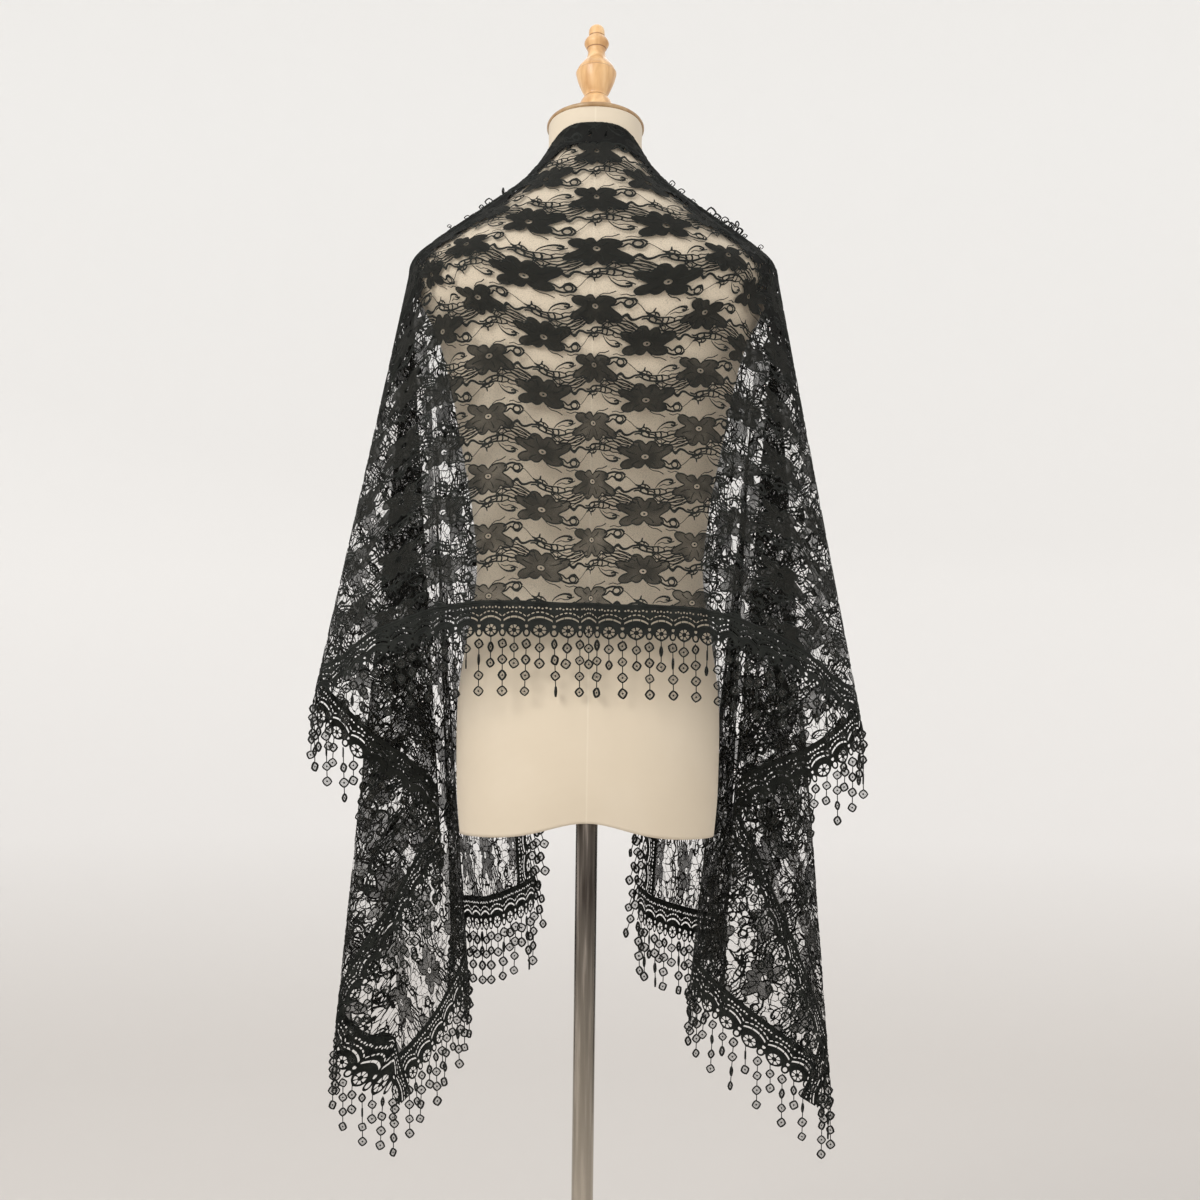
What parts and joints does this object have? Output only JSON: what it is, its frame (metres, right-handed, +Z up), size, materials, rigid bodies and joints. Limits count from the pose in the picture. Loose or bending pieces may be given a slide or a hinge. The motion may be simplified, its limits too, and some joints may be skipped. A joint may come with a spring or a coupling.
{
  "type": "draped lace shawl with ring fringe on a limbless dress form stand",
  "caption": "Black floral lace shawl with a trim band and ring fringe, draped over the shoulders of a limbless dress form on a pole stand",
  "frame": {"origin": "on the floor at the middle of the round base, on the stand's axis", "axes": "+Z up along the stand's pole, +Y out of the wearer's chest, +X towards the wearer's right, on the right of a view from behind"},
  "size_m": [0.6372, 0.4068, 1.6379],
  "materials": {
    "black_lace": "black figured lace on a fine net ground, matte",
    "black_trim": "black scalloped lace band, matte with slightly glossy cord",
    "black_fringe": "black thread fringe with small worked rings",
    "form_jersey": "beige knitted jersey cover, matte",
    "light_wood": "turned light wood under clear satin varnish",
    "chrome_tube": "polished plated steel"
  },
  "bodies": {
    "root": {"lace_back": "black_lace", "lace_front_left": "black_lace", "lace_front_right": "black_lace", "trim_hem": "black_trim", "trim_end_left": "black_trim", "trim_end_right": "black_trim", "trim_front_left": "black_trim", "trim_front_right": "black_trim", "trim_neck": "black_trim", "fringe_hem": "black_fringe", "fringe_end_left": "black_fringe", "fringe_end_right": "black_fringe", "fringe_front_left": "black_fringe", "fringe_front_right": "black_fringe", "form_torso": "form_jersey", "neck_cap": "light_wood", "finial": "light_wood", "stand_pole": "chrome_tube", "stand_base": "chrome_tube"}
  },
  "joints": []
}
